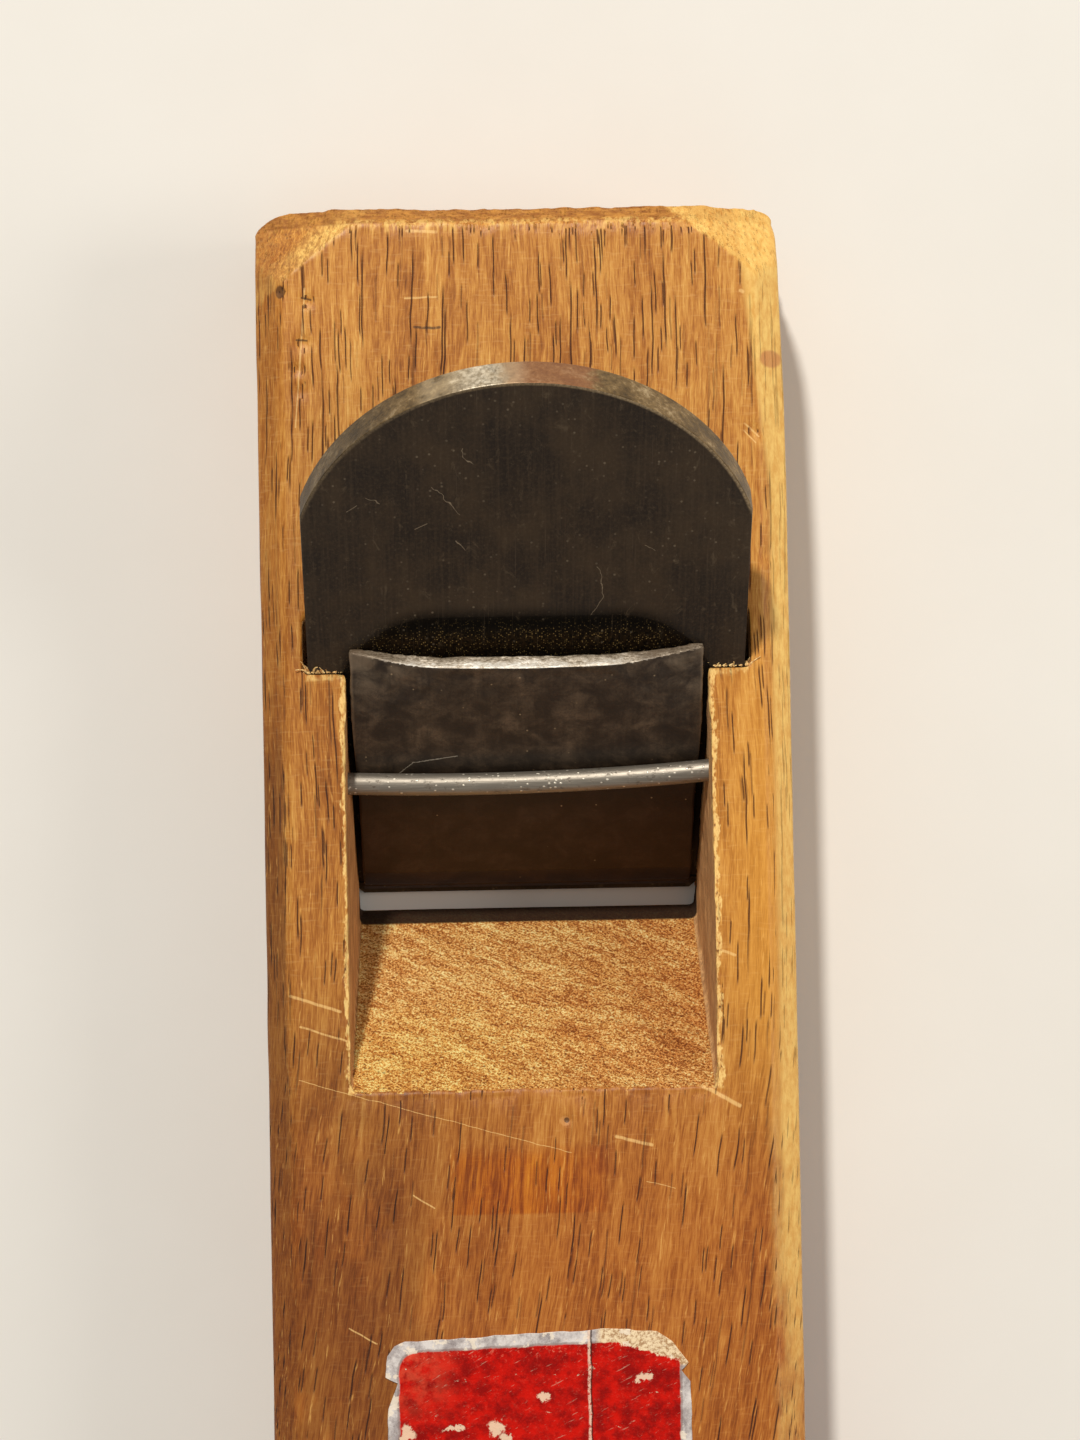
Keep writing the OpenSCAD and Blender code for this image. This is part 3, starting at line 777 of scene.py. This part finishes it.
drawn_steel = rod.done(relief, Metallic=0.7, Roughness=0.36 + rod_spots * 0.2)
pin.data.materials.append(drawn_steel)
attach(pin, "block")
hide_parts("retaining_pin")


# The blade: a forged iron back with a thin plate of hard steel welded to its lower face.
# It tapers from its head down, so that light taps wedge it into the grooves of the block.

face_angle = 43
bed_angle = 41
drawn_back = 2.1
up_face, off_face = slope_ways(face_angle)
blade_foot = np.array((0, 28.3, 0)) + drawn_back * slope_ways(bed_angle)[0]
blade_long = 103.0
head_radius = 36.0
head_middle = blade_long - head_radius
steel_long = 61.0


def rubbed_form(name, node, widths):
    """A CAD node's form with its edges rubbed down by what widths says of their middles."""
    piece = linked(name, welded_copy(node))
    work = bmesh.new()
    work.from_mesh(piece.data)
    groups = {}
    for edge in work.edges:
        if edge.calc_face_angle(0) > math.radians(24):
            middle = (edge.verts[0].co + edge.verts[1].co) / 2 * 1000
            width = widths(np.array(middle))
            if width:
                groups.setdefault(width, []).append(edge)
    for width, edges in groups.items():
        edges = [edge for edge in edges if edge.is_valid]
        bmesh.ops.bevel(
            work, geom=edges, offset=width / 1000, offset_type="OFFSET", segments=3,
            profile=0.5, affect="EDGES", clamp_overlap=True,
        )
    mesh = piece.data
    work.to_mesh(mesh)
    work.free()
    mesh.materials.clear()
    mesh.shade_smooth()
    mesh.set_sharp_from_angle(angle=math.radians(32))
    weighing = piece.modifiers.new("weighing", "WEIGHTED_NORMAL")
    weighing.weight = 100
    weighing.keep_sharp = True
    shaped(piece)
    return piece


def on_blade(places):
    """How far up the face of the blade places are from the cutting edge, and how far off it."""
    return (places - blade_foot) @ up_face, (places - blade_foot) @ off_face


def iron_widths(middle):
    up, off = on_blade(middle)
    seam = off > -1.5 and up < steel_long + 0.8
    return 0 if seam else 0.3


def steel_widths(middle):
    up, off = on_blade(middle)
    if up > steel_long - 0.4 or up < 1.8 or off < -0.5:
        return 0
    return 0.15 if abs(middle[0]) > 32 else 0.3


blade_iron = rubbed_form("forged_blade_back", "blade_iron", iron_widths)
blade_steel = rubbed_form("welded_cutting_steel", "blade_steel", steel_widths)


def face_coordinates(finish):
    """How far a finish's places are up the face of the blade, and how far off it."""
    away = finish.vector("SUBTRACT", finish.place, tuple(blade_foot))
    up = finish.vector("DOT_PRODUCT", away, tuple(up_face), 1)
    off = finish.vector("DOT_PRODUCT", away, tuple(off_face), 1)
    return up, off


patina = Finish("black_forge_patina")
x = patina.x
up, off = face_coordinates(patina)
on_iron = patina.joined(x, up, off)
streaks = patina.clouds((0.5, 15, 2), 3.0, 0.6, at=on_iron)
cloudy = patina.clouds((11, 16, 11), 4.0, 0.6, at=on_iron)
tooth = patina.clouds((0.5, 0.6, 0.5), 3.0, 0.7, at=on_iron)
specks = patina.dots(on_iron, (0.9, 1.0, 0.9), (0.3, 0.08), (0.7, 0.95)) * cloudy.past(0.38, 0.56)
smears = patina.clouds((2.2, 3.6, 2.2), 5.0, 0.75, 0.7, at=on_iron).past(0.57, 0.7)
long_scratch = patina.clouds((0.2, 16, 3), 1.0, at=on_iron).past(0.66, 0.78)

# The hollow ground into the steel is painted near black, for the dark reflection and the shade
# above the chipbreaker in it, and dust glints in it above the chipbreaker.
fuzzy = (tooth - 0.5) * 2.4 + (cloudy - 0.5) * 2.0
hollow = (16.0 + fuzzy - past_box(x, up - 30.3, 13.5, 13.8)).past(-1.0, 3.0)
dust = patina.dots(on_iron, (0.3, 0.3, 0.3), (0.44, 0.14), (0.5, 0.9))
dust = dust * hollow * cloudy.past(0.25, 0.5) * (up - 44.0).past(0, 8) * (58.6 - up).past(0, 5)
haze = hollow * (up - 44.0).past(0, 8) * (56.4 - up).past(0, 3.4) * tooth.past(0.35, 0.6)
patina.colour = patina.mix(cloudy.past(0.35, 0.65), (32, 22, 12), (62, 47, 29))
patina.cover(streaks.past(0.4, 0.75) * 0.35, (78, 62, 44))
patina.cover((tooth - 0.42).past(0, 0.3) * 0.25, (96, 78, 56))
# Painted dark reflection and shade: the hollow is coloured near black.
patina.cover(hollow * 0.92, (8, 5, 2))
patina.cover(haze * 0.4, (74, 52, 26))
patina.cover(smears * 0.5, (104, 88, 66))
patina.cover(specks * 0.5, (150, 134, 110))
patina.cover(long_scratch * 0.2, (120, 102, 82))
wander = patina.clouds((2.6, 2.6, 2.6), 2.0, at=on_iron)
curled = patina.joined(x + wander * 2.4 - 1.2, up + wander * 1.6 - 0.8)
hairs = patina.marks(curled, (
    ((-14.0, 84.0), (-10.0, 78.5), 0.08), ((-9.5, 91.0), (-8.0, 88.0), 0.07),
    ((-10.6, 73.5), (-9.4, 71.6), 0.14), ((10.8, 68.0), (11.8, 62.0), 0.08),
    ((11.8, 62.0), (10.2, 58.6), 0.07), ((-24.0, 82.0), (-22.4, 80.6), 0.08),
    ((-27.0, 79.4), (-25.4, 80.6), 0.07), ((-16.6, 76.0), (-14.8, 77.0), 0.08),
    ((18.0, 72.0), (19.6, 71.0), 0.07),
))
patina.cover(hairs * tooth.past(0.3, 0.5) * 0.5, (190, 170, 140))
patina.cover(dust * 0.75, (208, 174, 108))

# The front arris of the head is rubbed bright in places.
from_centre = (x * x + (up - head_middle) * (up - head_middle)).root()
arris = (from_centre - (head_radius - 0.7)).past(0, 0.4) * (up - 76).past(0, 4)
arris = arris * off.past(-0.6, -0.1) * (0.35 + 0.65 * x.past(-26, 20))
arris = arris * (0.5 + 0.5 * tooth.past(0.4, 0.6))
patina.cover(arris * 0.7, (190, 164, 124))
relief = streaks * 0.015 + cloudy * 0.06 + tooth * 0.035 - specks * 0.02
sheen = 0.44 + cloudy * 0.16 + hollow * 0.16
black_patina = patina.done(relief, Metallic=0.3 + hollow * 0.55, Roughness=sheen)

rim = Finish("pitted_ground_rim")
rim_pits = rim.clouds((0.8, 0.8, 0.8), 4.0, 0.7)
rim_wide = rim.clouds((4, 4, 4), 4.0, 0.65)
rim_tone = 0.5 + 0.9 * (rim_pits - 0.5) + 1.3 * (rim_wide - 0.5)
rim.colour = rim.ramp(rim_tone, (
    (0.0, (50, 36, 16)), (0.4, (94, 72, 38)), (0.62, (130, 104, 64)), (1.0, (206, 182, 142)),
))
rim_x = rim.x + rim_wide * 6 - 3
rust_patch = rim_x.past(-5.5, 0.0) * (10.0 - rim_x).past(-1.4, 1.0)
rust_tone = rim.mix(rim_pits, (120, 66, 34), (182, 122, 78))
rim.cover(rust_patch * 0.65, rust_tone)
# A rubbed patch near the middle of the rim: partly bright wear, partly a painted highlight, with a
# painted glare at its heart.
worn_and_glow = rim.spot(rim.joined(rim.x, 0.0), (-8.0, 0.0), 9.0, 1.0) * rim_wide.past(0.3, 0.5)
rim.cover(worn_and_glow * 0.25, (226, 206, 170))
polished_and_glare = (1 - abs(rim_x + 6.8) / 5.5).past(0, 1)
rim.cover(polished_and_glare * 0.75 * rim_pits.past(0.25, 0.75), (255, 244, 220))
left_dim = (-14 - rim.x).past(0, 12)
rim.dim(1 - left_dim * 0.5)
sheen = 0.42 + rim_pits * 0.2 - polished_and_glare * 0.16
pitted_rim = rim.done(rim_pits * 0.14 + rim_wide * 0.1, Metallic=0.45, Roughness=sheen)


def end_where(mesh, test):
    """The faces for which test is true take the mesh's second finish."""
    for face in mesh.polygons:
        face.material_index = 1 if test(np.array(face.center) * 1000, np.array(face.normal)) else 0


def is_rim(middle, way):
    return abs(way @ off_face) < 0.8 and on_blade(middle)[0] > 77


for piece, slot_name in ((blade_iron, "forged_iron"), (blade_steel, "hard_steel")):
    piece.data.materials.append(black_patina)
    piece.data.materials.append(pitted_rim)
    end_where(piece.data, is_rim)
    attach(piece, "blade")
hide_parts("blade_iron")
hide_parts("blade_steel")


# The chipbreaker: a smaller iron with its two upper corners hammered over into ears.
# They lift it to the pin's pressure, and its steel edge then bears on the face of the blade.

chip_foot = blade_foot + up_face
chip_long = 50.5
chip_thick = 2.9
chip_half_wide = 27.0
ear_legs = {-1: 11.5, 1: 13.0}
ear_draw = 1.1
bend_softness = 16
chip_cell = 0.00026
chip_iron, chip_mesh = remeshed("chipbreaker_plate", "chipbreaker_iron", chip_cell)
points = points_of(chip_mesh)
up_chip = (points - chip_foot) @ chip_up
front_share = np.clip((points - chip_foot) @ chip_off / chip_thick, 0, 1)


def soft(past_fold):
    """How far places are past a fold, with a soft bend in place of the fold's line."""
    return (np.sqrt(past_fold ** 2 + bend_softness) + past_fold) / 2


for side, leg in ear_legs.items():
    past_fold = (side * points[:, 0] - chip_half_wide + up_chip - chip_long + leg) * math.sqrt(0.5)
    tip = (leg + ear_draw) * math.sqrt(0.5)
    bend = soft(past_fold) * (tip / soft(tip)) - np.maximum(past_fold, 0)
    drop = (1.45 + 1.65 * front_share) / tip * bend * rise(side * points[:, 0], 0, 6)
    points -= np.outer(drop * rise(up_chip, 26, 40), chip_off)
at_ears = rise(np.abs(points[:, 0]) * 0.55 + up_chip, 52, 56)
at_end = rise(up_chip, chip_long - 3.0, chip_long - 1.0)
softness = (0.15 + 0.6 * at_ears * (1 - at_end)) * rise(up_chip, 3, 6)
points = eased(chip_mesh, points, softness, 8)
chip_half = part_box("chipbreaker_iron")[1][0] * 1000 + 0.5
points[:, 0] *= 1 + (chip_half / np.abs(points[:, 0]).max() - 1) * rise(up_chip, 20, 40)
put_points(chip_mesh, points)
facing = directions_of(chip_mesh)
blows = rough_heights(points / 2.6, 41) + 0.5 * rough_heights(points / 1.1, 42)
on_front = np.maximum(at_ears, at_end) * (facing @ chip_up > -0.5)
push = (0.03 + 0.1 * on_front) * (blows - 0.5) * rise(up_chip, 6, 14)
points += facing * push[:, None]
off_blade = on_blade(points)[1]
points += np.outer(np.maximum(0, 0.02 - off_blade), off_face)
put_points(chip_mesh, points)
chip_mesh = thinned(chip_iron, 70000)
chip_mesh.materials.clear()
chip_steel = rubbed_form("chipbreaker_edge", "chipbreaker_steel", lambda middle: 0)

mottle = Finish("mottled_iron_patina")
x = mottle.x
up, off = face_coordinates(mottle)
on_chip = mottle.joined(x, up, off)
blotches = mottle.clouds((4.6, 4.0, 4.6), 5.0, 0.6, 0.5, at=on_chip)
veins = mottle.clouds((3.0, 2.6, 3.0), 4.0, 0.6, 1.2, at=on_chip)
veins = abs(veins - 0.5).past(0.05, 0.0)
mottle_streaks = mottle.clouds((0.6, 12, 2), 3.0, 0.6, at=on_chip)
grain = mottle.clouds((0.5, 0.5, 0.5), 3.0, 0.7, at=on_chip)
mottle_tone = 0.53 + 1.8 * (blotches - 0.5) + 0.35 * (grain - 0.5) + 0.3 * (mottle_streaks - 0.5)
mottle.colour = mottle.ramp(mottle_tone, (
    (0.0, (36, 26, 17)), (0.4, (56, 43, 31)), (0.6, (74, 59, 44)), (1.0, (108, 88, 68)),
))
mottle.cover(veins * 0.3, (30, 21, 14))
below_pin = (26.5 - up).past(-2.0, 2.0)
red_brown = mottle.mix(blotches, (34, 15, 4), (60, 32, 12))
mottle.cover(below_pin * 0.75, red_brown)
# Painted shade: a dark band along the pin and just below it, where the pin shades the plate.
pin_shade_band = below_pin * (up - 21.0).past(-2, 3) * 0.4 + (4.5 - abs(up - 30)).past(0, 4) * 0.35
mottle.dim(1 - pin_shade_band)
rubbed_ear = (abs(x) * 0.55 + up - 58).past(0, 5) * blotches.past(0.35, 0.65)
mottle.cover(rubbed_ear * 0.35, (138, 120, 98))
side_line = (abs(x) - 26.8).past(0, 0.5) * (up - 26).past(0, 4)
mottle.cover(side_line * 0.4, (150, 128, 104))
chip_specks = mottle.dots(on_chip, (1.1, 1.1, 1.1), (0.18, 0.07), (0.9, 0.95))
mottle.cover(chip_specks * 0.6, (190, 162, 124))
strand_place = mottle.joined(x + blotches * 1.2, up + veins * 0.1)
strand = mottle.marks(strand_place, (
    ((-10.4, 33.0), (-17.4, 31.8), 0.11),
    ((-17.4, 31.8), (-21.0, 28.0), 0.09),
))
mottle.cover(strand * 0.65, (200, 188, 168))
relief = blotches * 0.08 + grain * 0.03 + mottle_streaks * 0.015
mottled = mottle.done(relief, Metallic=0.3, Roughness=0.42 + blotches * 0.2)

bright = Finish("bright_hammered_end")
bright_wide = bright.clouds((2.6, 1.2, 1.2), 4.0, 0.65, 0.5)
bright_grit = bright.clouds((0.5, 0.35, 0.35), 3.0, 0.7)
bright_up, bright_off = face_coordinates(bright)
to_front = (bright_off - 4.2 + bright_up * 0.0237).past(-1.6, 0.3)
bright_tone = 0.3 + 1.5 * (bright_wide - 0.5) + 1.3 * (bright_grit - 0.5) + 0.42 * to_front
bright.colour = bright.ramp(bright_tone, (
    (0.0, (86, 72, 56)), (0.35, (156, 141, 120)), (0.55, (206, 191, 170)), (1.0, (255, 250, 238)),
))
beside_middle = (abs(bright.x + 2.0) - 12.0).past(0, 12)
bright.cover(beside_middle * bright_wide.past(0.3, 0.6), (104, 86, 66))
relief = bright_wide * 0.3 + bright_grit * 0.06
hammered_bright = bright.done(relief, Metallic=0.3, Roughness=0.38 + bright_wide * 0.2)


def is_chip_end(middle, way):
    return way @ chip_up > 0.5 and (middle - chip_foot) @ chip_up > 40


for piece, slot_name in ((chip_iron, "patinated_iron"), (chip_steel, "bright_steel")):
    piece.data.materials.append(mottled)
    piece.data.materials.append(hammered_bright)
    end_where(piece.data, is_chip_end)
    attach(piece, "chipbreaker")
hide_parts("chipbreaker_iron")
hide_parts("chipbreaker_steel")


# The label: a sheet of red paper with a pale border, pasted on the deck behind the well.
# Its corners are rounded, its edge is torn, and handling has scuffed and cracked the red.

label_low, label_high = box_of("paper_label")
label_left = label_low[0]
label_top = label_high[2]
label_corners = (
    (-23.9, -44.6), (label_left, -43.2), (-23.5, -41.3), (-22.4, -39.8), (-20.8, -39.1),
    (-13.9, -38.85), (-0.9, -38.15), (9.6, -37.8), (14.0, -37.9), (18.3, -38.3), (20.7, -39.9),
    (22.3, -42.1), (23.2, -43.3), (21.9, -44.2), (23.4, -46.2), (23.5, -55.0), (23.5, -78.0),
    (23.2, -95.0), (22.4, -97.2), (20.4, -98.1), (0.0, -98.0), (-20.5, -98.15), (-22.8, -97.3),
    (label_left, -95.0), (-23.5, -76.0), (label_left, -56.0), (-23.5, -49.5), (-22.2, -46.2),
    (-22.0, -45.5), (-22.8, -45.1),
)
label_work = bmesh.new()
outline = []
for corner, after in zip(label_corners, label_corners[1:] + label_corners[:1]):
    steps = max(1, round(math.dist(corner, after)))
    for step in range(steps):
        outline.append(np.array(corner) + (np.array(after) - corner) * step / steps)
outline = np.array(outline)
ragged = rough_heights(np.column_stack((outline / 1.7, np.zeros(len(outline)))), 31)
outline -= 0.18 * ragged[:, None] * outline / np.linalg.norm(outline, axis=1)[:, None]
middle = outline.mean(0)
rings = []
for height, inset in ((deck - 0.015, 0.0), (deck + 0.12, 0.0), (label_top - 0.01, 0.12)):
    ring = []
    for point in outline:
        way = (middle - point) / np.linalg.norm(middle - point)
        spot = (point + way * inset) / 1000
        ring.append(label_work.verts.new((*spot, height / 1000)))
    rings.append(ring)
for low, high in zip(rings, rings[1:]):
    for index in range(len(low)):
        after = (index + 1) % len(low)
        label_work.faces.new((low[index], high[index], high[after], low[after]))
label_work.faces.new(rings[0])
label_work.faces.new(list(reversed(rings[-1])))
bmesh.ops.recalc_face_normals(label_work, faces=label_work.faces)
label_mesh = bpy.data.meshes.new("paper_label")
label_work.to_mesh(label_mesh)
label_work.free()
label = linked("red_paper_label", label_mesh)
paper = Finish("red_printed_paper")
x, y = paper.x, paper.y
tear = paper.clouds((2.2, 2.2, 2.2), 4.0, 0.65)
crumbs = paper.clouds((0.5, 0.5, 0.5), 3.0, 0.7)
torn_x = x + tear * 0.7 - 0.35
torn_y = y + tear * 0.7 - 0.35 - torn_x * 0.032
half_wide, half_long = 21.75, 28.0
corner_round = 2.8
from_core = past_box(torn_x, torn_y + 68.2, half_wide - corner_round, half_long - corner_round)
cut_corner = (torn_x - 10.2) * 0.32 + (torn_y + 39.6) * 0.947 + (crumbs - 0.5) * 1.4
inside = from_core.past(corner_round + 0.12, corner_round - 0.12) * cut_corner.past(0.15, -0.15)
outline_dark = from_core.past(corner_round - 0.15, corner_round + 0.05)
outline_dark = outline_dark * from_core.past(corner_round + 0.45, corner_round + 0.2)
print_noise = paper.clouds((2.6, 2.6, 2.6), 5.0, 0.7)
paper.colour = paper.mix(print_noise.past(0.35, 0.65), (206, 16, 0), (142, 4, 0))
faded = crumbs.past(0.55, 0.75) * (0.12 + 0.6 * (torn_y + 42.5).past(0, 1.6))
paper.cover(faded, (236, 136, 108))
washed = (-11 - torn_x).past(0, 8) * (torn_y + 52).past(0, 8) * tear.past(0.35, 0.6)
paper.cover(washed * 0.55, (226, 84, 56))
red_ink = paper.colour
grime = paper.clouds((2.6, 3.4, 2.6), 5.0, 0.7)
paper.colour = paper.mix(grime.past(0.35, 0.65), (222, 214, 208), (160, 150, 148))
cracked = abs(print_noise - 0.5).past(0.02, 0.0) * grime.past(0.4, 0.6)
paper.cover(cracked * 0.5, (110, 96, 92))
paper.cover(outline_dark * 0.55, (126, 92, 82))
worn_corner = (torn_x - 8.4).past(0, 1.5) * (torn_y + 44.6).past(0, 0.6)
corner_paper = paper.mix(crumbs.past(0.35, 0.6), (176, 132, 84), (246, 220, 176))
paper.cover(worn_corner * 0.9, corner_paper)
paper.cover((tear - 0.5).past(0.06, 0.1) * 0.7, (246, 230, 206))
paper.cover(inside, red_ink)
ragged_place = paper.joined(x + tear * 4.4 + crumbs - 2.7, y + crumbs * 1.4 + tear * 3.4 - 2.4)
scuff_noise = paper.clouds((3.4, 2.4, 3.4), 5.0, 0.76, 0.6)
scuffs = scuff_noise.past(0.655, 0.69)
fibres = paper.clouds((3.6, 0.5, 1), 3.0, 0.7, at=paper.joined(x + y * 0.5, y - x * 0.5))
scuffs = scuffs.larger(fibres.past(0.63, 0.7) * 0.35)
for middle, across, along in (
    ((0.5, -48.1), 1.3, 0.9), ((-6.9, -52.6), 1.6, 1.4), ((-5.4, -54.2), 1.3, 0.8),
    ((16.3, -45.3), 1.5, 0.8), ((-13.3, -52.7), 1.9, 0.4), ((-20.4, -53.0), 1.5, 1.6),
    ((-4.4, -63.0), 2.6, 1.4), ((12.0, -70.0), 1.6, 2.2), ((-16.0, -80.0), 2.4, 1.2),
):
    scuffs = scuffs.larger(paper.spot(ragged_place, middle, across, along))
paper.cover(scuffs * 0.85, (238, 208, 176))
crack_place = paper.joined(x + tear * 0.6 - 0.3, y)
pale_crack = paper.line(crack_place, (7.8, -38.0), (7.4, -100.0), 0.34)
paper.cover(pale_crack * crumbs.past(0.35, 0.5) * 0.8, (240, 206, 180))
crack = paper.line(crack_place, (8.1, -36.0), (7.8, -100.0), 0.16)
paper.cover(crack * 0.8, (62, 26, 18))
relief = scuffs * -0.06 - crack * 0.1 + print_noise * 0.16 + grime * 0.05 + crumbs * 0.05
sheen = 0.38 + scuffs * 0.35 + grime * 0.15
red_paper = paper.done(relief, Specular_IOR_Level=0.14, Roughness=sheen)
label_mesh.materials.append(red_paper)
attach(label, "block")
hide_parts("paper_label")
